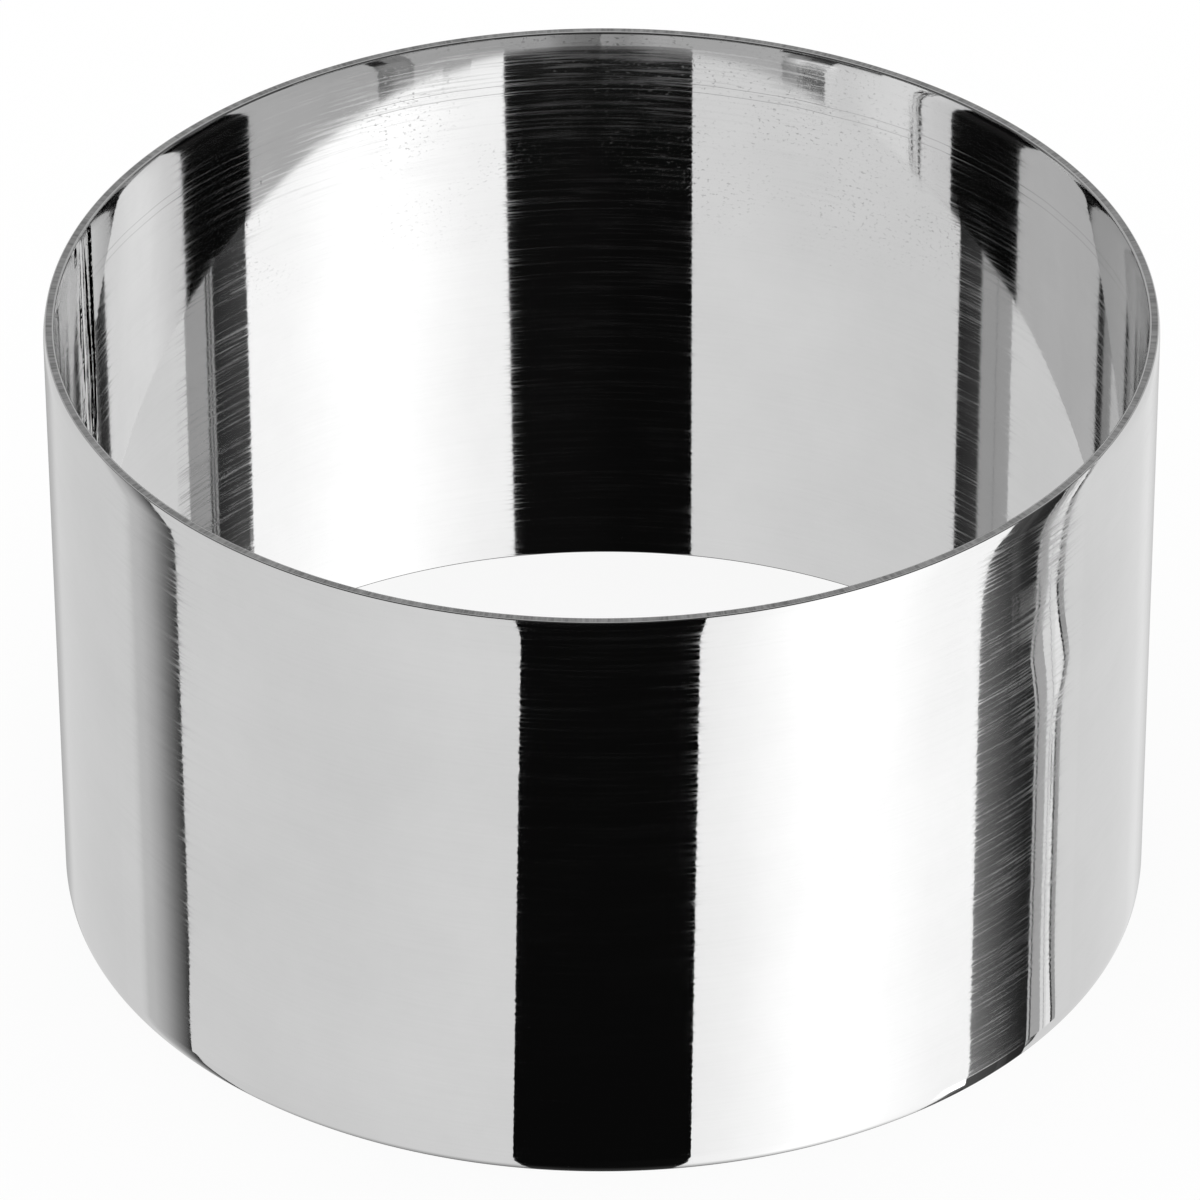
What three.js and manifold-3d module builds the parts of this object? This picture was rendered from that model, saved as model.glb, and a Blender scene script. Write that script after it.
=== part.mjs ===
// Pastry ring: a strip of polished stainless sheet rolled into a hoop and closed by one upright butt weld.
// Millimetres, +Z up. The origin is the centre of the lower rim, and the weld lies on the -X side.
import * as THREE from 'three';
import { mergeVertices } from 'three/addons/utils/BufferGeometryUtils.js';
import Module from 'manifold-3d';

// Driving dimensions.
const boreDiameter = 75; // clear width inside the ring
const sheetThickness = 0.8; // gauge of the strip
const bandHeight = 45; // width of the strip, which stands up as the ring's height
const edgeRadius = 0.12; // round left on the four rim edges by deburring
const weldWidth = 2.4; // length of wall that the weld fills between the strip's two ends
const weldRoot = 0.08; // how far the dressed bead stands into the bore at its middle

// Fineness of the round faces.
const turnSteps = 160; // flats round the hoop
const edgeSteps = 2; // half the flats on each rim edge
const beadSteps = 8; // flats across the bead
const overshoot = 1; // length by which a cutting solid runs past what it cuts

// Sizes that follow.
const boreRadius = boreDiameter / 2;
const outerRadius = boreRadius + sheetThickness;
const halfWeld = weldWidth / 2;

const wasm = await Module();
wasm.setup();

// A closed mesh as a solid that can be joined and cut.
function toSolid(geometry) {
  const bare = geometry.clone();
  bare.deleteAttribute('normal');
  bare.deleteAttribute('uv');
  const merged = mergeVertices(bare);
  return new wasm.Manifold(new wasm.Mesh({
    numProp: 3,
    vertProperties: new Float32Array(merged.attributes.position.array),
    triVerts: new Uint32Array(merged.index.array),
  }));
}

// A cut solid as a mesh with flat shading.
function toGeometry(solid) {
  const { vertProperties, triVerts } = solid.getMesh();
  const geometry = new THREE.BufferGeometry();
  geometry.setAttribute('position', new THREE.BufferAttribute(vertProperties, 3));
  geometry.setIndex(new THREE.BufferAttribute(triVerts, 1));
  geometry.computeVertexNormals();
  return geometry;
}

// Upright section of the wall, as radius and height, with its four edges rounded.
function wallSection(innerRadius) {
  const round = Math.min(edgeRadius, sheetThickness * 0.45, bandHeight * 0.45);
  const quarter = Math.PI / 2;
  const section = new THREE.Shape();
  section.absarc(outerRadius - round, round, round, -quarter, 0);
  section.absarc(outerRadius - round, bandHeight - round, round, 0, quarter);
  section.absarc(innerRadius + round, bandHeight - round, round, quarter, 2 * quarter);
  section.absarc(innerRadius + round, round, round, 2 * quarter, 3 * quarter);
  section.closePath();
  return section;
}

// The section turned once round the ring's axis.
function hoop(innerRadius) {
  const outline = wallSection(innerRadius).getPoints(edgeSteps);
  return new THREE.LatheGeometry(outline, turnSteps).rotateX(Math.PI / 2);
}

// The gap between the strip's two ends, square to the wall on the -X side.
function seamGap() {
  const depth = sheetThickness + 2 * overshoot;
  const gap = new THREE.BoxGeometry(depth, weldWidth, bandHeight + 2 * overshoot);
  return gap.translate(-(boreRadius + sheetThickness / 2), 0, bandHeight / 2);
}

// Plan of the weld: flat against both strip ends, with its inner face bowed into the bore.
function weldPlan() {
  const toe = Math.sqrt(boreRadius ** 2 - halfWeld ** 2);
  const crown = boreRadius - weldRoot;
  const back = outerRadius + overshoot;
  const plan = new THREE.Shape();
  plan.moveTo(-back, halfWeld);
  plan.lineTo(-back, -halfWeld);
  plan.lineTo(-toe, -halfWeld);
  plan.quadraticCurveTo(toe - 2 * crown, 0, -toe, halfWeld);
  plan.closePath();
  return plan;
}

// The weld at full height, before its outer face and rims are dressed to the hoop.
function weldBlank() {
  const height = bandHeight + 2 * overshoot;
  const blank = new THREE.ExtrudeGeometry(weldPlan(), {
    depth: height,
    curveSegments: beadSteps,
    bevelEnabled: false,
  });
  return blank.translate(0, 0, -overshoot);
}

const polishedSteel = new THREE.MeshStandardMaterial({ color: 0xcfd0d1, metalness: 1, roughness: 0.1 });
const weldSteel = new THREE.MeshStandardMaterial({ color: 0xbcbdbe, metalness: 1, roughness: 0.3 });

const bandSolid = toSolid(hoop(boreRadius)).subtract(toSolid(seamGap()));
const band = new THREE.Mesh(toGeometry(bandSolid), polishedSteel);
band.name = 'rolled_band';

const dressing = toSolid(hoop(boreRadius - weldRoot - edgeRadius));
const weldSolid = toSolid(weldBlank()).intersect(dressing);
const weld = new THREE.Mesh(toGeometry(weldSolid), weldSteel);
weld.name = 'weld_seam';

const pastryRing = new THREE.Group();
pastryRing.name = 'pastry_ring';
pastryRing.add(band, weld);

export default pastryRing;
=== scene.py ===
import math

import bpy
import numpy as np
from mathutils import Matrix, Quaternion, Vector


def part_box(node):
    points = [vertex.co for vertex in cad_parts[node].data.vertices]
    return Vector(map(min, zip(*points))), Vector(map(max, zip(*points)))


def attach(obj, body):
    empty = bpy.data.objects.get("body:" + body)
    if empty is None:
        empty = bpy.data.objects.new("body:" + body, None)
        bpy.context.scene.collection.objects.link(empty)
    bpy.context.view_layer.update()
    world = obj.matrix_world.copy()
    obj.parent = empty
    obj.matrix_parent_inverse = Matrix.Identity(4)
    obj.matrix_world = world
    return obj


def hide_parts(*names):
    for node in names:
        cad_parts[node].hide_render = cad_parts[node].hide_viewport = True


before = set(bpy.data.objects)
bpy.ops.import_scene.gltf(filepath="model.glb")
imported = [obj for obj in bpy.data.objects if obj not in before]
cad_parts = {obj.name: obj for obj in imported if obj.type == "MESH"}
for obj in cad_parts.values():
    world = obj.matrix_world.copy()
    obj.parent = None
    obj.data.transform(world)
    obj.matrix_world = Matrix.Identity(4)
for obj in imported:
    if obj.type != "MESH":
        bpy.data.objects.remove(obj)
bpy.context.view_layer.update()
scene = bpy.context.scene
scene.view_settings.view_transform = "Standard"
scene.cycles.glossy_bounces = 12  # the bore mirrors itself many times over
print("frame loaded:", sorted(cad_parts))

mm = 0.001
_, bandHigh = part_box("rolled_band")
_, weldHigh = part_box("weld_seam")

ring = {
    "outerRadius": bandHigh.x,
    "height": bandHigh.z,
    "sheet": 0.8 * mm,
    "halfWeld": weldHigh.y,
    "seamAzimuth": -90.0,  # degrees, 0 is the front at -Y and 90 is +X
}
ring["boreRadius"] = ring["outerRadius"] - ring["sheet"]

photoCamera = {
    "azimuth": 16.6,  # puts the weld where the photograph has it, inside at the far left
    "elevation": 33.906,
    "distance": 642.4 * mm,
    "roll": -0.216,
    "lens": 275.43,
    "sensor": 36.0,
    "shift": (-0.00222, -0.01448),
    "clip": (0.01, 20.0),
}


def azimuthVector(degrees):
    # unit vector on the ground: azimuth 0 points to -Y, 90 to +X
    turn = np.radians(degrees)
    return np.stack([np.sin(turn), -np.cos(turn)], -1)


def makeCamera():
    # looks at the middle of the ring from the photograph's direction
    c = photoCamera
    lift = math.radians(c["elevation"])
    east, north = azimuthVector(c["azimuth"])
    back = Vector((east * math.cos(lift), north * math.cos(lift), math.sin(lift)))
    data = bpy.data.cameras.new("photo_camera")
    data.lens, data.sensor_width = c["lens"], c["sensor"]
    data.shift_x, data.shift_y = c["shift"]
    data.clip_start, data.clip_end = c["clip"]
    camera = bpy.data.objects.new("photo_camera", data)
    camera.location = Vector((0, 0, ring["height"] / 2)) + back * c["distance"]
    camera.rotation_mode = "QUATERNION"
    roll = Quaternion((0, 0, 1), math.radians(c["roll"]))
    camera.rotation_quaternion = (-back).to_track_quat("-Z", "Y") @ roll
    scene.collection.objects.link(camera)
    scene.camera = camera
    return np.array(camera.location)


cameraPlace = makeCamera()
print("camera set")


# node helpers

def newMaterial(name):
    material = bpy.data.materials.new(name)
    material.use_nodes = True
    material.node_tree.nodes.clear()
    return material, material.node_tree


def addNode(tree, kind, **settings):
    node = tree.nodes.new(kind)
    for key, value in settings.items():
        setattr(node, key, value)
    return node


def plug(tree, value, socket):
    # a link from another node's socket, or a plain value
    if isinstance(value, bpy.types.NodeSocket):
        tree.links.new(value, socket)
    else:
        socket.default_value = value


def addMath(tree, operation, *values):
    node = addNode(tree, "ShaderNodeMath", operation=operation)
    for value, socket in zip(values, node.inputs):
        plug(tree, value, socket)
    return node.outputs[0]


def addAway(tree, value, place):
    # distance of a value from a place
    return addMath(tree, "ABSOLUTE", addMath(tree, "SUBTRACT", value, place))


def addRange(tree, value, fromLow, fromHigh, toLow, toHigh):
    node = addNode(tree, "ShaderNodeMapRange")
    plug(tree, value, node.inputs["Value"])
    keys = ("From Min", "From Max", "To Min", "To Max")
    for key, number in zip(keys, (fromLow, fromHigh, toLow, toHigh)):
        node.inputs[key].default_value = number
    return node.outputs["Result"]


def addMix(tree, factor, first, second):
    # first where the factor is 0, second where it is 1; a plain number is a grey
    node = addNode(tree, "ShaderNodeMix", data_type="RGBA")
    plug(tree, factor, node.inputs["Factor"])
    for key, value in (("A", first), ("B", second)):
        if not isinstance(value, bpy.types.NodeSocket):
            value = (value, value, value, 1)
        plug(tree, value, node.inputs[key])
    return node.outputs["Result"]


def addRamp(tree, value, low, high, stops):
    # straight lines between the given places and grey levels
    ramp = addNode(tree, "ShaderNodeValToRGB")
    plug(tree, addRange(tree, value, low, high, 0.0, 1.0), ramp.inputs["Fac"])
    elements = ramp.color_ramp.elements
    elements.remove(elements[-1])
    for k, (place, level) in enumerate(stops):
        share = (place - low) / (high - low)
        stop = elements[0] if k == 0 else elements.new(share)
        stop.position = share
        stop.color = (level, level, level, 1)
    return ramp.outputs["Color"]


def sheetPlace(tree):
    # place on the sheet's own UV map, in metres: u runs round the ring, v round its section
    uv = addNode(tree, "ShaderNodeUVMap", uv_map="sheet")
    split = addNode(tree, "ShaderNodeSeparateXYZ")
    plug(tree, uv.outputs["UV"], split.inputs["Vector"])
    return split.outputs["X"], split.outputs["Y"]


def sheetNoise(tree, alongScale, acrossScale, detail, roughness, offset):
    # noise on the sheet's own UV map, with a scale per metre for each of its directions
    uv = addNode(tree, "ShaderNodeUVMap", uv_map="sheet")
    mapping = addNode(tree, "ShaderNodeMapping")
    mapping.inputs["Location"].default_value = (offset, offset, 0)
    mapping.inputs["Scale"].default_value = (alongScale, acrossScale, 1)
    plug(tree, uv.outputs["UV"], mapping.inputs["Vector"])
    noise = addNode(tree, "ShaderNodeTexNoise", noise_dimensions="2D")
    noise.inputs["Scale"].default_value = 1.0
    noise.inputs["Detail"].default_value = detail
    noise.inputs["Roughness"].default_value = roughness
    plug(tree, mapping.outputs["Vector"], noise.inputs["Vector"])
    return noise.outputs["Fac"]


# surfaces

edges = {
    "corner": 0.10 * mm,  # break between the outer wall and a rim
    "boreCorner": 0.15 * mm,
    "cornerSteps": 7,
    "rollTop": (0.9 * mm, 0.10 * mm),  # height and depth of the polished-over outer edge at the top
    "rollFoot": (0.7 * mm, 0.06 * mm),
    "rollBore": (0.7 * mm, 0.035 * mm),
    "rollPower": 2.2,
    "wallSteps": 34,
    "rimSteps": 5,
}

# parts of the section, in order: up the outside, over the rim, down the bore and under the foot
zoneNames = ["wall", "topCorner", "topRim", "boreTop", "bore", "boreFoot", "footRim", "footCorner"]
zoneOf = {name: k for k, name in enumerate(zoneNames)}
rimZones = (zoneOf["topRim"], zoneOf["footRim"])
boreZones = (zoneOf["boreTop"], zoneOf["bore"], zoneOf["boreFoot"])


def smoothEase(x):
    # cubic ease from 0 to 1
    return x * x * (3 - 2 * x)


def rolledOff(depthFromEdge, roll):
    # how far a face falls back near an edge: depth times a power of (1 - s / length)
    length, depth = roll
    share = np.clip(1 - depthFromEdge / length, 0, 1)
    return depth * share ** edges["rollPower"]


def wallProfile(wallSteps):
    # closed section as radius, height and zone: straight walls and rims joined by quarter circles
    e, corner, inner = edges, edges["corner"], edges["boreCorner"]
    height, outer, bore = ring["height"], ring["outerRadius"], ring["boreRadius"]
    share = smoothEase(smoothEase(np.linspace(0, 1, wallSteps)))  # closer steps near both rims
    arc = np.radians(np.linspace(0, 90, e["cornerSteps"] + 1)[1:-1])
    rim = np.linspace(0, 1, e["rimSteps"])
    top = outer - e["rollTop"][1] - corner
    foot = outer - e["rollFoot"][1] - corner
    topBore = bore + e["rollBore"][1] + inner
    footBore = bore + inner
    wallZ = corner + (height - 2 * corner) * share
    boreZ = height - inner - (height - 2 * inner) * share
    sections = [
        (np.full(wallSteps, outer), wallZ),
        (top + corner * np.cos(arc), height - corner + corner * np.sin(arc)),
        (top + (topBore - top) * rim, np.full(len(rim), height)),
        (topBore - inner * np.sin(arc), height - inner + inner * np.cos(arc)),
        (np.full(wallSteps, bore), boreZ),
        (footBore - inner * np.cos(arc), inner - inner * np.sin(arc)),
        (footBore + (foot - footBore) * rim, np.zeros(len(rim))),
        (foot + corner * np.sin(arc), corner - corner * np.cos(arc)),
    ]
    radius = np.concatenate([s[0] for s in sections])
    z = np.concatenate([s[1] for s in sections])
    zone = np.repeat(np.arange(len(sections)), [len(s[0]) for s in sections])
    wall, lining = zone == zoneOf["wall"], zone == zoneOf["bore"]
    radius[wall] -= rolledOff(height - corner - z[wall], e["rollTop"])
    radius[wall] -= rolledOff(z[wall] - corner, e["rollFoot"])
    radius[lining] += rolledOff(height - inner - z[lining], e["rollBore"])
    return radius, z, zone


profileRadius, profileZ, profileZone = wallProfile(edges["wallSteps"])
profileStep = np.hypot(np.diff(profileRadius), np.diff(profileZ))
boreStart = float(profileStep[:np.argmax(profileZone == zoneOf["bore"])].sum())  # v where the bore begins


def addSurface(name, points, zone, uvAlong, materials):
    # points[i, j]: i runs round the ring, open with capped ends, and j runs round the section and closes
    rows, columns = points.shape[:2]
    index = np.arange(rows * columns).reshape(rows, columns)
    nextJ = np.roll(index, -1, axis=1)
    quads = np.stack([index[:-1], index[1:], nextJ[1:], nextJ[:-1]], -1).reshape(-1, 4)
    caps = [index[0].tolist(), index[-1][::-1].tolist()]
    mesh = bpy.data.meshes.new(name)
    mesh.from_pydata(points.reshape(-1, 3).tolist(), [], quads.tolist() + caps)
    # the UV map unrolls the sheet: u as given, v the length round the section
    step = np.linalg.norm(np.roll(points, -1, axis=1) - points, axis=2)[0]
    across = np.concatenate([[0], np.cumsum(step)])
    u = np.broadcast_to(uvAlong[:, None], (rows, columns))
    low = np.broadcast_to(across[:-1], (rows - 1, columns))
    high = np.broadcast_to(across[1:], (rows - 1, columns))
    corners = [(u[:-1], low), (u[1:], low), (u[1:], high), (u[:-1], high)]
    uv = np.stack([np.stack(corner, -1) for corner in corners], 2).reshape(-1)
    capUv = np.zeros(4 * columns)
    layer = mesh.uv_layers.new(name="sheet")
    layer.data.foreach_set("uv", np.concatenate([uv, capUv]).astype(np.float32))
    # the second material goes on the rims
    onRim = np.isin(zone, rimZones) & np.isin(np.roll(zone, -1), rimZones)
    slots = np.concatenate([np.tile(onRim, rows - 1), [False, False]]).astype(np.int32)
    mesh.polygons.foreach_set("material_index", slots)
    mesh.polygons.foreach_set("use_smooth", np.ones(len(mesh.polygons), bool))
    ends = np.zeros(len(mesh.edges) * 2, np.int32)
    mesh.edges.foreach_get("vertices", ends)
    ends = ends.reshape(-1, 2)
    onCap = (ends < columns).all(1) | (ends >= (rows - 1) * columns).all(1)
    sharp = mesh.attributes.new("sharp_edge", "BOOLEAN", "EDGE")
    sharp.data.foreach_set("value", onCap)
    for material in materials:
        mesh.materials.append(material)
    mesh.update()
    piece = bpy.data.objects.new(name, mesh)
    scene.collection.objects.link(piece)
    print(name, len(mesh.polygons), "faces")
    return piece


def ringPoints(radius, z, azimuth):
    # cylinder coordinates to points, azimuth in degrees
    flat = azimuthVector(azimuth) * radius[..., None]
    return np.concatenate([flat, np.broadcast_to(z, radius.shape)[..., None]], -1)


# materials

def newSteel(name):
    material, tree = newMaterial(name)
    output = addNode(tree, "ShaderNodeOutputMaterial")
    steel = addNode(tree, "ShaderNodeBsdfPrincipled")
    steel.inputs["Metallic"].default_value = 1.0
    plug(tree, steel.outputs["BSDF"], output.inputs["Surface"])
    return material, tree, steel


def addBump(tree, steel, height, depth):
    bump = addNode(tree, "ShaderNodeBump")
    bump.inputs["Distance"].default_value = depth
    plug(tree, height, bump.inputs["Height"])
    plug(tree, bump.outputs["Normal"], steel.inputs["Normal"])


# in these dictionaries a noise is its scale along and across the sheet, detail, roughness and offset, and
# an onset is the two noise levels between which something sets in
polish = {
    "grey": 0.62,
    "mirror": 0.03,  # roughness of the plain polish
    "line": (0.058, 0.13),  # roughness of a brush line outside, at the foot and at the rim
    "boreLine": 0.085,
    "jitter": (0.003, 0.0018),  # how far the brush lines turn the normal sideways, outside and in the bore
    "anisotropy": (1.0, 0.25),  # strength and turn
    "fineNoise": (110, 5200, 2, 0.6, 0.0),
    "longNoise": (60, 3800, 2, 0.6, 3.1),
    "lineOnset": (0.42, 0.7),
    "patchNoise": (240, 420, 3, 0.6, 9.4),
    "patchOnset": (0.35, 0.6),
    "patchLeast": 0.7,  # share of a brush line's roughness that is left between patches
    "strayNoise": (90, 3200, 2, 0.6, 1.3),
    "strayOnset": (0.2, 0.8),
    "cloudNoise": (90, 90, 5, 0.6, 7.7),
    "cloudOnset": (0.25, 0.75),
    "cloudTone": 0.03,  # share by which the grey varies in clouds
    "fineOnset": (0.3, 0.7),
    "fineTone": 0.006,  # share by which it varies between brush lines
    "scribes": (3.85 * mm, 4.5 * mm),  # two fine turned lines in the bore, measured down from the rim
    "scribeWidth": (0.0105 * mm, 0.035 * mm),  # half width of the line's core and of its whole
    "scribeMark": 0.55,
    "wanderNoise": (60, 0.001, 3, 0.6, 4.2),
    "wanderOnset": (0.3, 0.7),
    "wander": 0.1 * mm,  # how far a turned line strays up or down
    "pitted": (192 * mm, 34 * mm, 18 * mm),  # middle, half length and depth of the pitted patch in the bore
    "pittedCore": (0.8, 0.7),  # shares of its length and depth where it starts to thin out
    "pitNoise": (2600, 4200, 2, 0.6, 6.6),
    "pitOnset": (0.62, 0.72),
    "pitMark": 0.45,
    "pitAreaNoise": (70, 110, 2, 0.6, 2.3),
    "pitAreaOnset": (0.4, 0.56),
    "sliverSpan": (0.4 * mm, 2.0 * mm),  # length of the dull slivers beside the weld, painted near black as shade, full and faded out
    "sliverSpanBias": (0.06, -0.3),  # added to their noise at these two places
    "sliverNoise": (1700, 140, 3, 0.6, 5.9),
    "toothNoise": (250, 3800, 2, 0.7, 8.8),
    "tooth": 0.13,  # how much their edges are toothed
    "sliverOnset": (0.53, 0.55),
    "dullRough": 0.3,  # roughness of marks and slivers
    "markGrey": 0.3,
    # near-black grey and tint of the slivers: painted shade
    "sliverPaintedShade": 0.02,
    "sliverPaintedTint": 0.1,
}


def brushLines(tree):
    # fine and long lines round the ring, stronger in patches
    p = polish
    fine, long = sheetNoise(tree, *p["fineNoise"]), sheetNoise(tree, *p["longNoise"])
    lines = addRange(tree, addMath(tree, "MAXIMUM", fine, long), *p["lineOnset"], 0.0, 1.0)
    patch = addRange(tree, sheetNoise(tree, *p["patchNoise"]), *p["patchOnset"], p["patchLeast"], 1.0)
    return fine, addMath(tree, "MULTIPLY", lines, patch)


def boreMarks(tree, u, v):
    # turned lines and pits in the bore, placed by their depth below the rim
    p = polish
    wander = sheetNoise(tree, *p["wanderNoise"])
    wander = addRange(tree, wander, *p["wanderOnset"], -p["wander"], p["wander"])
    down = addMath(tree, "ADD", addMath(tree, "SUBTRACT", v, boreStart), wander)
    marks = 0.0
    for depth in p["scribes"]:
        line = addRange(tree, addAway(tree, down, depth), *p["scribeWidth"], p["scribeMark"], 0.0)
        marks = addMath(tree, "MAXIMUM", marks, line)
    pits = addRange(tree, sheetNoise(tree, *p["pitNoise"]), *p["pitOnset"], 0.0, p["pitMark"])
    area = addRange(tree, sheetNoise(tree, *p["pitAreaNoise"]), *p["pitAreaOnset"], 0.0, 1.0)
    middle, half, deep = p["pitted"]
    halfCore, deepCore = p["pittedCore"]
    along = addRange(tree, addAway(tree, u, middle), halfCore * half, half, 1.0, 0.0)
    across = addRange(tree, down, deepCore * deep, deep, 1.0, 0.0)
    inBore = addMath(tree, "GREATER_THAN", down, 0.0)
    for share in (area, along, across, inBore):
        pits = addMath(tree, "MULTIPLY", pits, share)
    return addMath(tree, "MAXIMUM", marks, pits), inBore


def weldSliverDullAndShade(tree, u, inBore):
    # dull slivers in the bore along the weld, at the start of the strip: rough, and painted near black as
    # shade
    p = polish
    sliverDullAndShade = sheetNoise(tree, *p["sliverNoise"])
    tooth = addRange(tree, sheetNoise(tree, *p["toothNoise"]), 0.0, 1.0, -p["tooth"], p["tooth"])
    near = addRange(tree, u, *p["sliverSpan"], *p["sliverSpanBias"])
    for part in (tooth, near):
        sliverDullAndShade = addMath(tree, "ADD", sliverDullAndShade, part)
    return addMath(tree, "MULTIPLY", addRange(tree, sliverDullAndShade, *p["sliverOnset"], 0.0, 1.0), inBore)


def tiltSideways(tree, steel, tangent, turn):
    # normal plus the tangent times a small turn, at unit length
    aside = addNode(tree, "ShaderNodeVectorMath", operation="SCALE")
    plug(tree, tangent, aside.inputs[0])
    plug(tree, turn, aside.inputs["Scale"])
    tilted = addNode(tree, "ShaderNodeVectorMath", operation="ADD")
    plug(tree, addNode(tree, "ShaderNodeNewGeometry").outputs["Normal"], tilted.inputs[0])
    plug(tree, aside.outputs["Vector"], tilted.inputs[1])
    unit = addNode(tree, "ShaderNodeVectorMath", operation="NORMALIZE")
    plug(tree, tilted.outputs["Vector"], unit.inputs[0])
    plug(tree, unit.outputs["Vector"], steel.inputs["Normal"])


def makePolishedSteel():
    p = polish
    material, tree, steel = newSteel("polished_steel")
    strength, turn = p["anisotropy"]
    steel.inputs["Anisotropic"].default_value = strength
    steel.inputs["Anisotropic Rotation"].default_value = turn
    tangent = addNode(tree, "ShaderNodeTangent", direction_type="UV_MAP", uv_map="sheet").outputs["Tangent"]
    plug(tree, tangent, steel.inputs["Tangent"])
    u, v = sheetPlace(tree)
    fine, lines = brushLines(tree)
    marks, inBore = boreMarks(tree, u, v)
    sliverDullAndShade = weldSliverDullAndShade(tree, u, inBore)
    # each brush line is a little rough, marks and slivers more so
    most = addRange(tree, v, 0.0, ring["height"], *p["line"])
    most = addMix(tree, inBore, most, p["boreLine"])
    rough = addMath(tree, "MAXIMUM", addMath(tree, "MULTIPLY", lines, most), p["mirror"])
    dullAndShade = addMath(tree, "MAXIMUM", marks, sliverDullAndShade)
    rough = addMath(tree, "MAXIMUM", rough, addRange(tree, dullAndShade, 0.0, 1.0, 0.0, p["dullRough"]))
    plug(tree, rough, steel.inputs["Roughness"])
    cloud = sheetNoise(tree, *p["cloudNoise"])
    darkest, lightest = (1 - p["cloudTone"]) * p["grey"], (1 + p["cloudTone"]) * p["grey"]
    level = addRange(tree, cloud, *p["cloudOnset"], darkest, lightest)
    tone = addRange(tree, fine, *p["fineOnset"], 1 + p["fineTone"], 1 - p["fineTone"])
    level = addMath(tree, "MULTIPLY", level, tone)
    # marks are a darker grey; the slivers' near-black grey and, below, their dark tint are painted shade
    level = addMix(tree, sliverDullAndShade, addMix(tree, marks, level, p["markGrey"]), p["sliverPaintedShade"])
    plug(tree, level, steel.inputs["Base Color"])
    plug(tree, addMix(tree, sliverDullAndShade, 1.0, p["sliverPaintedTint"]), steel.inputs["Specular Tint"])
    # and turned a little sideways
    stray = addRange(tree, sheetNoise(tree, *p["strayNoise"]), *p["strayOnset"], -1.0, 1.0)
    most = addRange(tree, inBore, 0.0, 1.0, *p["jitter"])
    tiltSideways(tree, steel, tangent, addMath(tree, "MULTIPLY", stray, most))
    return material


ground = {
    "hatchNoise": (4200, 300, 3, 0.65, 0.0),
    "patchNoise": (420, 200, 3, 0.6, 5.3),
    "patchShare": 0.5,
    "onset": (0.5, 1.0),
    "grey": (0.2, 0.46),
    "roughness": (0.3, 0.5),
    "scratchDepth": 5e-6,
}


def makeGroundRim():
    # short marks across the sheet, in darker and lighter patches
    g = ground
    material, tree, steel = newSteel("ground_rim")
    hatch = sheetNoise(tree, *g["hatchNoise"])
    patch = addMath(tree, "MULTIPLY", sheetNoise(tree, *g["patchNoise"]), g["patchShare"])
    mixed = addMath(tree, "ADD", hatch, patch)
    addBump(tree, steel, hatch, g["scratchDepth"])
    plug(tree, addRange(tree, mixed, *g["onset"], *g["roughness"]), steel.inputs["Roughness"])
    plug(tree, addRange(tree, mixed, *g["onset"], *g["grey"]), steel.inputs["Base Color"])
    return material


bead = {
    "clean": 0.56,
    "cleanTone": (0.9, 1.08),
    "roughness": (0.06, 0.17),
    "grainNoise": (5200, 500, 3, 0.6, 1.9),
    "grainOnset": (0.3, 0.7),
    "grainDepth": 2.5e-6,
    # dull upright bands in the bore, painted near black as shade: left, right and how dull
    "bands": [(-1.1 * mm, -0.42 * mm, 0.16), (-0.05 * mm, 0.65 * mm, 0.07)],
    "bandEdge": 0.05 * mm,
    "teethNoise": (250, 3800, 2, 0.7, 8.8),
    "ragged": 1.2 * mm,  # how far their edges stray
    "sliverNoise": (1900, 90, 3, 0.6, 0.7),
    "dullOnset": (0.56, 0.6),
    # near-black grey and tint of the bands: painted shade
    "bandPaintedShade": 0.02,
    "bandPaintedTint": 0.1,
    "dullRough": 0.32,
}


def makeWeldSteel():
    # upright grain, with dull slivers gathered in ragged bands on the bore side, painted near black as shade
    b = bead
    material, tree, steel = newSteel("weld_steel")
    u, v = sheetPlace(tree)
    grain = sheetNoise(tree, *b["grainNoise"])
    teeth = sheetNoise(tree, *b["teethNoise"])
    across = addMath(tree, "ADD", u, addRange(tree, teeth, 0.0, 1.0, -b["ragged"] / 2, b["ragged"] / 2))
    inShadeBand = 0.0
    for left, right, share in b["bands"]:
        half = (right - left) / 2
        away = addAway(tree, across, (left + right) / 2)
        inside = addRange(tree, away, half - b["bandEdge"], half, share, 0.0)
        inShadeBand = addMath(tree, "MAXIMUM", inShadeBand, inside)
    dullAndShade = addMath(tree, "ADD", sheetNoise(tree, *b["sliverNoise"]), inShadeBand)
    dullAndShade = addRange(tree, dullAndShade, *b["dullOnset"], 0.0, 1.0)
    dullAndShade = addMath(tree, "MULTIPLY", dullAndShade, addMath(tree, "GREATER_THAN", v, boreStart))
    addBump(tree, steel, grain, b["grainDepth"])
    rough = addRange(tree, grain, *b["grainOnset"], *b["roughness"])
    rough = addMath(tree, "MAXIMUM", rough, addRange(tree, dullAndShade, 0.0, 1.0, 0.0, b["dullRough"]))
    plug(tree, rough, steel.inputs["Roughness"])
    darkest, lightest = (tone * b["clean"] for tone in b["cleanTone"])
    level = addRange(tree, grain, *b["grainOnset"], darkest, lightest)
    # the slivers' near-black grey and dark tint are painted shade
    plug(tree, addMix(tree, dullAndShade, level, b["bandPaintedShade"]), steel.inputs["Base Color"])
    plug(tree, addMix(tree, dullAndShade, 1.0, b["bandPaintedTint"]), steel.inputs["Specular Tint"])
    return material


steelWall, steelRim, steelWeld = makePolishedSteel(), makeGroundRim(), makeWeldSteel()
print("materials made")


# pieces

band = {"turnSteps": 640}


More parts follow.
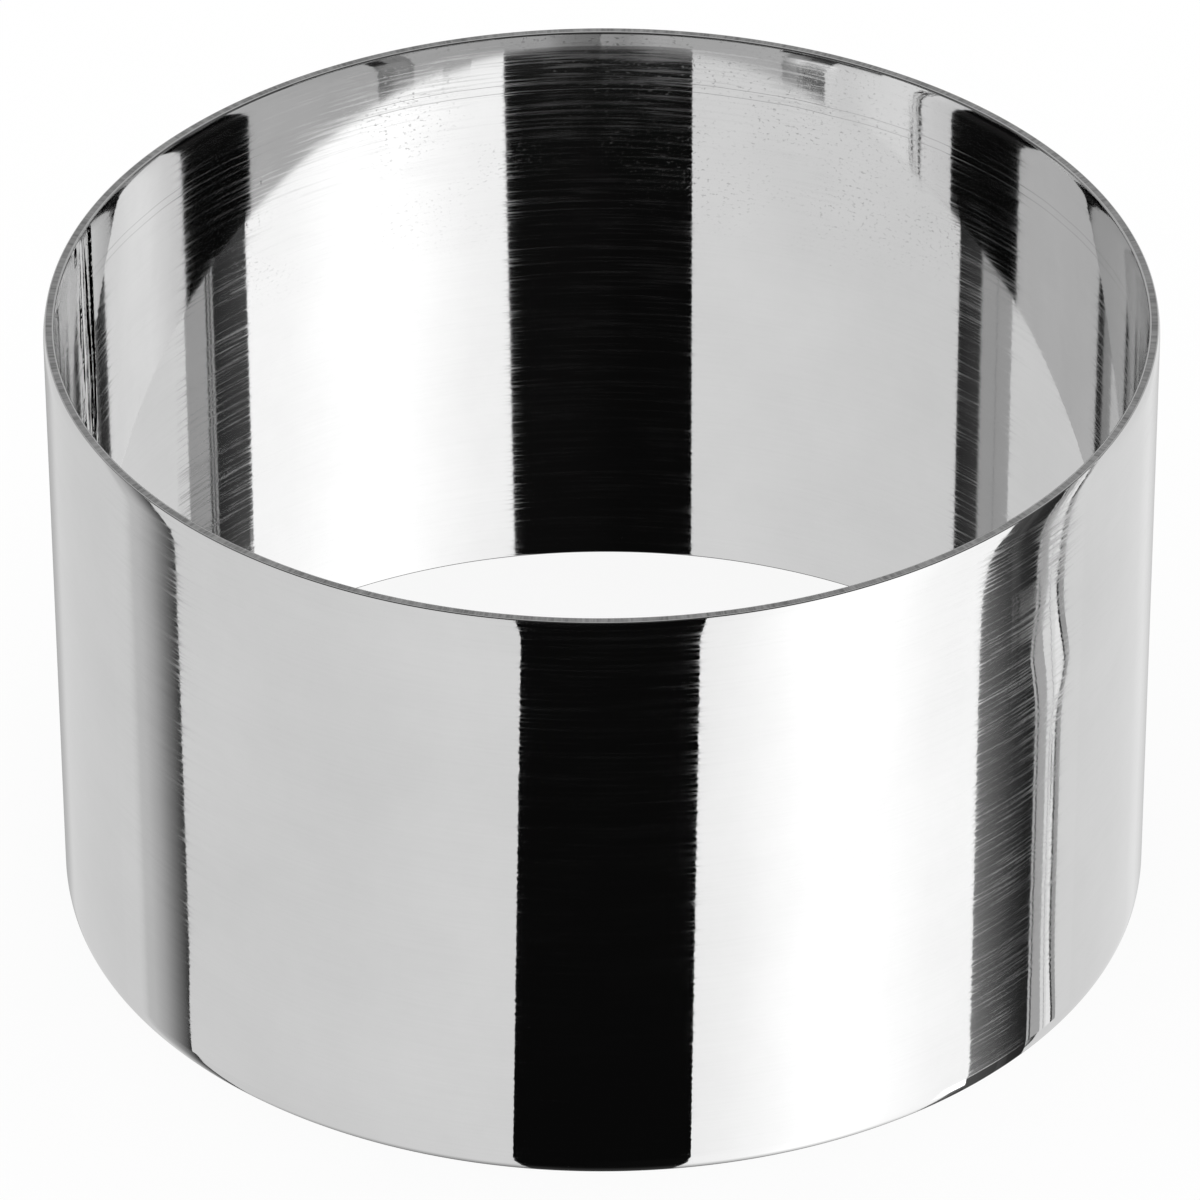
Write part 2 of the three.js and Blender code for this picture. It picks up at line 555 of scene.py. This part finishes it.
def makeBand():
    # the section carried once round the axis, from one flat of the weld to the other
    radius, z, zone = wallProfile(edges["wallSteps"])
    share = np.linspace(0, 1, band["turnSteps"] + 1)[:, None]
    start = np.degrees(np.arcsin(ring["halfWeld"] / radius))
    azimuth = ring["seamAzimuth"] + start + share * (360 - 2 * start)
    points = ringPoints(np.broadcast_to(radius, azimuth.shape), z, azimuth)
    along = np.radians(share[:, 0] * 360) * ring["outerRadius"]
    return addSurface("band_wall", points, zone, along, [steelWall, steelRim])


weld = {
    "acrossSteps": 72,
    "wallSteps": 300,
    "crown": 0.045 * mm,
    # upright ridges and grooves on the bore side: place and width as shares of half the weld, and height
    "ridges": [
        (-0.9, 0.07, 0.016 * mm),
        (-0.5, 0.09, -0.02 * mm),
        (-0.05, 0.07, 0.014 * mm),
        (0.3, 0.06, -0.016 * mm),
        (0.75, 0.1, 0.018 * mm),
    ],
    "waves": (5, 200, 2600, 6.28),  # waves in a ridge: number, slowest and fastest per metre, largest phase
    "sway": 0.06,  # how far the waves and the teeth move a ridge, as shares of half the weld
    "teeth": 0.05,
    "fade": 0.08,  # share at each side over which the relief dies away
    "outerDip": 0.12,  # share of the relief that shows as shallow dips outside
    "seed": 11,
}


def makeWeld():
    # the section carried across the weld; its bore side has a low crown and ragged upright ridges that wander
    radius, z, zone = wallProfile(weld["wallSteps"])
    share = np.linspace(-1, 1, weld["acrossSteps"] + 1)[:, None]
    azimuth = ring["seamAzimuth"] + np.degrees(np.arcsin(share * ring["halfWeld"] / radius))
    rng = np.random.default_rng(weld["seed"])
    relief = np.zeros((len(share), len(z)))
    count, slowest, fastest, phase = weld["waves"]
    for place, width, height in weld["ridges"]:
        waves = np.sin(rng.uniform(slowest, fastest, (count, 1)) * z + rng.uniform(0, phase, (count, 1)))
        teeth = rng.normal(0, 1, len(z))
        teeth = (teeth + np.roll(teeth, 1)) / 2
        centre = place + weld["sway"] * waves.mean(0) + weld["teeth"] * teeth
        relief += height * np.exp(-((share - centre) / width) ** 2)
    fade = np.clip((1 - np.abs(share)) / weld["fade"], 0, 1)
    crown = weld["crown"] * (1 - share ** 2)
    lift = np.where(np.isin(zone, boreZones), (crown + relief) * fade, 0)
    dip = np.where(zone == zoneOf["wall"], weld["outerDip"] * np.abs(relief) * fade, 0)
    points = ringPoints(radius - lift - dip, z, azimuth)
    along = share[:, 0] * ring["halfWeld"]
    return addSurface("weld_bead", points, zone, along, [steelWeld, steelRim])


bandPiece, weldPiece = makeBand(), makeWeld()
for piece, node, slotName in (
    (bandPiece, "rolled_band", "polished_steel"),
    (weldPiece, "weld_seam", "weld_steel"),
):
    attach(piece, "root")
    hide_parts(node)
print("ring made")


# studio

studio = {
    # light seen by the steel, as azimuth from the camera in degrees and level
    "tent": [
        (-180, 0.38), (-171, 0.46), (-164, 0.56), (-157, 0.8), (-120, 0.88), (-60, 0.94), (-30, 1.0),
        (-5, 1.0), (5, 1.3), (28, 1.42), (45, 1.68), (58, 1.66), (72, 1.5), (86, 1.45),
        (96, 0.97), (150, 0.92), (158, 0.73), (165, 0.42), (170, 0.3), (180, 0.32),
    ],
    # shares of it that are left at the front card, the post on the left and the gap on the right, and the
    # brighter far right
    "front": [(-19.75, 1), (-19.6, 0.004), (20.25, 0.004), (20.4, 1)],
    "post": [
        (-100.4, 1), (-100.2, 0.52), (-95.9, 0.5), (-95.6, 0.38), (-95.2, 0.5), (-91.2, 0.5), (-90.3, 0.06),
        (-84.2, 0.03), (-84.0, 1),
    ],
    "gap": [
        (83.2, 1), (83.4, 0.05), (93.3, 0.03), (93.5, 0.4), (94.0, 0.4), (94.15, 0.1), (94.5, 0.1),
        (94.65, 0.4), (95.0, 0.4), (95.15, 0.08), (95.6, 0.08), (95.75, 0.49), (102.5, 0.49), (102.65, 1),
    ],
    "far": [(150, 1), (160, 1.35), (168, 2.0), (176, 2.2)],
    # the post and the gap where they are seen lower or higher
    "postFoot": [(-118, 1), (-117.6, 0.95), (-109.4, 0.62), (-103.3, 0.29), (-98.7, 0.03), (-98.5, 1)],
    "gapFoot": [
        (84.4, 1), (84.6, 0.17), (88, 0.13), (92, 0.09), (96, 0.05), (100, 0.025), (107.1, 0.02), (107.3, 1),
    ],
    "gapHigh": [(64, 1), (64.3, 0.06), (93.3, 0.03), (107.1, 0.03), (107.3, 1)],
    "margin": 0.3,  # degrees that each of these runs on past its ends
    "gapSteps": (-33.78, -22.0),  # elevations where the foot of the gap ends and its high part begins
    "postEnd": -37.4,  # elevation below which only the foot of the outer wall looks
    "frontLean": (0.45, 31.8),  # lean of the front card's right edge, and the depression where it is nil
    "leanEnds": (-36.5, -30.0),  # elevations past which it leans no further
    "above": [(-180, 0.62), (-130, 0.55), (-100, 0.1), (0, 0.04), (100, 0.1), (130, 0.55), (180, 0.62)],
    "aboveOnset": (2, 6),  # elevations
    "below": 0.08,
    "belowOnset": (-48, -62),
    # paler bands: azimuth, reach to its sides, four elevations of its rise and fall, and level
    "glows": [
        (88.5, 18, -43.5, -43.0, -38.2, -37.6, 2.4),  # below the gap
        (88.5, 18, -30.4, -29.6, -28.0, -27.2, 2.2),  # above it
        (-92.0, 14, -31.2, -30.6, -28.0, -27.2, 0.6),  # above the post
        (0.0, 40, -30.8, -30.2, -28.0, -27.2, 0.03),  # above the front card
    ],
    "glowCore": 0.4,  # share of a band's reach that has its full level
}


def lookDirection(tree):
    # azimuth from the camera's and elevation of a ray that leaves the scene, in degrees
    direction = addNode(tree, "ShaderNodeSeparateXYZ")
    plug(tree, addNode(tree, "ShaderNodeTexCoord").outputs["Generated"], direction.inputs["Vector"])
    south = addMath(tree, "MULTIPLY", direction.outputs["Y"], -1.0)
    azimuth = addMath(tree, "DEGREES", addMath(tree, "ARCTAN2", direction.outputs["X"], south))
    azimuth = addMath(tree, "SUBTRACT", azimuth, photoCamera["azimuth"])
    azimuth = addMath(tree, "WRAP", azimuth, 180.0, -180.0)
    lift = addMath(tree, "DEGREES", addMath(tree, "ARCSINE", direction.outputs["Z"]))
    return azimuth, lift


def leaningAzimuth(tree, azimuth, lift):
    # azimuth as the front card has it, which leans to the right of the camera only
    slope, upright = studio["frontLean"]
    lowest, highest = studio["leanEnds"]
    held = addMath(tree, "MINIMUM", addMath(tree, "MAXIMUM", lift, lowest), highest)
    lean = addMath(tree, "MULTIPLY", addMath(tree, "ADD", held, upright), slope)
    lean = addMath(tree, "MULTIPLY", lean, addMath(tree, "GREATER_THAN", azimuth, 0.0))
    return addMath(tree, "SUBTRACT", azimuth, lean)


def makeWorld():
    # white to the camera and to matt surfaces; steel sees a tent of grey levels by azimuth and elevation
    s = studio
    world = bpy.data.worlds.new("light_tent")
    scene.world = world
    world.use_nodes = True
    tree = world.node_tree
    tree.nodes.clear()
    output = addNode(tree, "ShaderNodeOutputWorld")
    glow = addNode(tree, "ShaderNodeBackground")
    plug(tree, glow.outputs["Background"], output.inputs["Surface"])
    azimuth, lift = lookDirection(tree)

    def shade(name, place=azimuth):
        stops = s[name]
        return addRamp(tree, place, stops[0][0] - s["margin"], stops[-1][0] + s["margin"], stops)

    footEnd, highStart = s["gapSteps"]
    gap = addMix(tree, addMath(tree, "LESS_THAN", lift, footEnd), shade("gap"), shade("gapFoot"))
    gap = addMix(tree, addMath(tree, "GREATER_THAN", lift, highStart), gap, shade("gapHigh"))
    post = addMix(tree, addMath(tree, "LESS_THAN", lift, s["postEnd"]), shade("post"), shade("postFoot"))
    front = shade("front", leaningAzimuth(tree, azimuth, lift))
    level = addRamp(tree, azimuth, -180, 180, s["tent"])
    for share in (front, post, gap, shade("far")):
        level = addMath(tree, "MULTIPLY", level, share)
    for middle, reach, low, lowEnd, high, highEnd, pale in s["glows"]:
        beside = addRange(tree, addAway(tree, azimuth, middle), s["glowCore"] * reach, reach, pale, 0.0)
        rise = addRange(tree, lift, low, lowEnd, 0.0, 1.0)
        fall = addRange(tree, lift, high, highEnd, 1.0, 0.0)
        paler = addMath(tree, "MULTIPLY", beside, addMath(tree, "MINIMUM", rise, fall))
        level = addMath(tree, "MAXIMUM", level, paler)
    level = addMix(tree, addRange(tree, lift, *s["belowOnset"], 0.0, 1.0), level, s["below"])
    above = addRamp(tree, azimuth, -180, 180, s["above"])
    level = addMix(tree, addRange(tree, lift, *s["aboveOnset"], 0.0, 1.0), level, above)
    path = addNode(tree, "ShaderNodeLightPath")
    plug(tree, addMix(tree, path.outputs["Is Glossy Ray"], 1.0, level), glow.inputs["Color"])


def glowMaterial(name):
    material, tree = newMaterial(name)
    output = addNode(tree, "ShaderNodeOutputMaterial")
    glow = addNode(tree, "ShaderNodeEmission")
    glow.inputs["Color"].default_value = (1, 1, 1, 1)
    plug(tree, glow.outputs["Emission"], output.inputs["Surface"])
    return material, tree, glow, output


def addStage(name, grids, levels):
    # open grids that only mirrors see, each with a level per row
    verts, quads, glows, start = [], [], [], 0
    for points, level in zip(grids, levels):
        rows, columns = points.shape[:2]
        index = start + np.arange(rows * columns).reshape(rows, columns)
        corners = [index[:-1, :-1], index[1:, :-1], index[1:, 1:], index[:-1, 1:]]
        quads.append(np.stack(corners, -1).reshape(-1, 4))
        verts.append(points.reshape(-1, 3))
        glows.append(np.repeat(level, columns))
        start += rows * columns
    mesh = bpy.data.meshes.new(name)
    mesh.from_pydata(np.concatenate(verts).tolist(), [], np.concatenate(quads).tolist())
    attribute = mesh.attributes.new("level", "FLOAT", "POINT")
    attribute.data.foreach_set("value", np.concatenate(glows).astype(np.float32))
    material, tree, glow, _ = glowMaterial(name)
    level = addNode(tree, "ShaderNodeAttribute", attribute_name="level")
    plug(tree, level.outputs["Fac"], glow.inputs["Strength"])
    material.cycles.emission_sampling = "NONE"
    mesh.materials.append(material)
    card = bpy.data.objects.new(name, mesh)
    scene.collection.objects.link(card)
    for kind in ("camera", "diffuse", "transmission", "shadow", "volume_scatter"):
        setattr(card, "visible_" + kind, False)


surround = {
    # upright strips of the tent that the outer wall mirrors, from left to right: wall azimuth of the left
    # edge at half height, in degrees from the camera, its lean per unit of height, swells of the edge as
    # (degrees, height share, reach), and the level at the strip's left and right; the last one only ends
    # the one before it
    "strips": [
        (-60.0, 0, [], 0.88, 0.886),
        (-56.8, 0, [], 0.886, 0.83),
        (-56.0, 0, [], 0.83, 0.715),
        (-55.3, 0, [], 0.715, 0.69),
        (-54.0, 0, [], 0.69, 0.518),
        (-52.0, 0, [], 0.518, 0.27),
        (-50.0, 0, [], 0.27, 0.11),
        (-48.5, 0, [], 0.11, 0.03),
        (-47.8, 0, [(-0.3, 0.08, 0.08), (-0.25, 1.0, 0.05)], 0.93, 0.94),
        (-29.0, 0, [], 0.94, 1.0),
        (-14.5, 0, [], 1.0, 1.0),
        (-8.7, 1.4, [], 0.004, 0.004),
        (9.17, 0.85, [], 1.33, 1.42),
        (13.5, 0, [], 1.42, 1.68),
        (21.8, 0, [], 1.68, 1.66),
        (28.0, 0, [], 1.66, 1.5),
        (34.8, 0, [], 1.5, 1.45),
        (40.75, 0.5, [(1.35, 1.0, 0.07)], 0.12, 0.07),
        (45.1, 0, [], 0.1, 0.06),
        (46.6, 0, [], 0.045, 0.025),
        (49.5, 0, [(-1.0, 0.745, 0.065), (-0.35, 0.88, 0.08), (0.7, 1.0, 0.05)], 0.63, 0.63),
        (49.85, 0, [(-1.0, 0.745, 0.065), (-0.25, 0.88, 0.08), (0.7, 1.0, 0.05)], 0.09, 0.09),
        (50.1, 0, [(-1.05, 0.745, 0.065), (-0.5, 0.9, 0.06), (0.7, 1.0, 0.05)], 0.55, 0.55),
        (51.45, 0, [(-1.1, 0.775, 0.075), (-0.4, 0.92, 0.06), (0.9, 1.0, 0.04), (0.35, 0.0, 0.12)],
         1.03, 1.03),
        (51.95, 0, [(0.5, 0.64, 0.05), (-0.6, 0.84, 0.08), (0.9, 1.0, 0.05), (0.4, 0.0, 0.15)], 0.5, 0.5),
        (52.07, 0, [(0.5, 0.64, 0.05), (-0.6, 0.84, 0.08), (0.9, 1.0, 0.05), (0.4, 0.0, 0.15)], 1.03, 1.03),
        (52.45, 0, [(0.4, 0.66, 0.06), (1.0, 1.0, 0.05), (0.4, 0.0, 0.15)], 0.012, 0.012),
        (52.45, 0, [(0.18, 0.5, 0.06), (0.4, 0.66, 0.06), (1.0, 1.0, 0.05), (0.4, 0.0, 0.15)], 1.2, 1.2),
        (52.95, 0, [(1.25, 0.69, 0.06), (-0.45, 0.84, 0.05), (1.3, 1.0, 0.06), (0.8, 0.0, 0.12)],
         0.012, 0.012),
        (53.25, 0, [(1.25, 0.69, 0.06), (-0.4, 0.84, 0.05), (1.5, 1.0, 0.06), (0.8, 0.0, 0.12)], 0.45, 0.45),
        (54.0, 0, [(1.15, 0.70, 0.06), (-0.2, 0.84, 0.05), (1.5, 1.0, 0.06), (0.65, 0.0, 0.12)], 0.97, 0.97),
        (57.5, 0, [], 0.95, 0.95),
    ],
    "share": (0.0, 0.985, 270),  # low end, high end and steps
    # strips, by their left edge, that have a card under the foot too, and none between these height shares
    "open": {40.75: (0.02, 0.965), 45.1: (0.02, 0.88), 46.6: (0.02, 0.88)},
    "footEnd": 0.0165,  # height share below which the other strips have no card
    "reach": ((0, 0.1, 0.45), (1 * mm, 16 * mm, 60 * mm)),  # distance from the wall at three height shares
    "ends": (-62.0, 2.0),  # elevations to which the strips carry on, under the foot and above the rim
    "endSteps": 6,
    "step": 3.0,  # widest column, in degrees
}


def mirroredRays(azimuth, share):
    # where the camera's rays go after the outer wall, for wall azimuths from the camera and height shares
    flat = azimuthVector(azimuth + photoCamera["azimuth"])
    normal = np.concatenate([flat, np.zeros_like(flat[..., :1])], -1)
    spot = normal * ring["outerRadius"]
    spot[..., 2] = share * ring["height"]
    ray = spot - cameraPlace
    ray /= np.linalg.norm(ray, axis=-1, keepdims=True)
    return spot, ray - 2 * (ray * normal).sum(-1, keepdims=True) * normal


def stripEdge(strip, share):
    # wall azimuth of a strip's left edge: a leaning line plus bell-shaped swells
    base, lean, swells = strip[:3]
    line = base + lean * (share - 0.5)
    bells = [size * np.exp(-((share - place) / reach) ** 2) for size, place, reach in swells]
    return line + sum(bells, 0 * share)


def carriedOn(spot, ray, lift, length):
    # rays turned in even steps from their own elevation to another, each as long as given
    flat = ray[..., :2] / np.linalg.norm(ray[..., :2], axis=-1, keepdims=True)
    first = np.arcsin(ray[..., 2])
    turned = first + (lift - first) * np.linspace(0, 1, surround["endSteps"] + 1)[1:]
    way = np.concatenate([flat * np.cos(turned)[..., None], np.sin(turned)[..., None]], -1)
    return spot + way * length


def makeSurround():
    # every strip runs between two edges on the wall and lies where the camera's mirrored rays go; above the
    # rim, and for some strips under the foot, it carries straight on
    c = surround
    share = np.linspace(*c["share"])
    reach = np.interp(share, *c["reach"])[:, None]
    edge = [stripEdge(strip, share) for strip in c["strips"]]
    lowLift, topLift = np.radians(c["ends"])
    grids, levels = [], []
    for k, (base, _, _, first, last) in enumerate(c["strips"][:-1]):
        columns = int(np.ceil((c["strips"][k + 1][0] - base) / c["step"])) + 1
        across = np.linspace(0, 1, max(columns, 2))[:, None]
        spot, ray = mirroredRays(edge[k] + (edge[k + 1] - edge[k]) * across, share)
        foot = carriedOn(spot[:, :1], ray[:, :1], lowLift, reach[0])[:, ::-1]
        head = carriedOn(spot[:, -1:], ray[:, -1:], topLift, reach[-1])
        points = np.concatenate([foot, spot + ray * reach, head], 1)
        gapLow, gapHigh = c["endSteps"] + np.searchsorted(share, c["open"].get(base, (0, c["footEnd"])))
        parts = [points[:, gapHigh:]]
        if base in c["open"]:
            parts.append(points[:, :gapLow])
        for part in parts:
            grids.append(part)
            levels.append(first + (last - first) * across[:, 0])
    addStage("tent_strips", grids, levels)


floorCard = {
    "half": 3.0,  # half width in metres
    "glow": 0.9,  # share of its white that it gives off itself
}


def makeFloor():
    # pale ground that the camera sees as white, with a soft shadow, and that mirrors look past
    half, share = floorCard["half"], floorCard["glow"]
    mesh = bpy.data.meshes.new("floor")
    corners = [(-half, -half, 0), (half, -half, 0), (half, half, 0), (-half, half, 0)]
    mesh.from_pydata(corners, [], [(0, 1, 2, 3)])
    floor = bpy.data.objects.new("floor", mesh)
    scene.collection.objects.link(floor)
    floor.visible_glossy = False
    material, tree, glow, output = glowMaterial("pale_floor")
    glow.inputs["Strength"].default_value = share
    matte = addNode(tree, "ShaderNodeBsdfDiffuse")
    matte.inputs["Color"].default_value = (1 - share, 1 - share, 1 - share, 1)
    both = addNode(tree, "ShaderNodeAddShader")
    plug(tree, glow.outputs["Emission"], both.inputs[0])
    plug(tree, matte.outputs["BSDF"], both.inputs[1])
    plug(tree, both.outputs["Shader"], output.inputs["Surface"])
    mesh.materials.append(material)


makeWorld()
makeSurround()
makeFloor()
print("studio made")
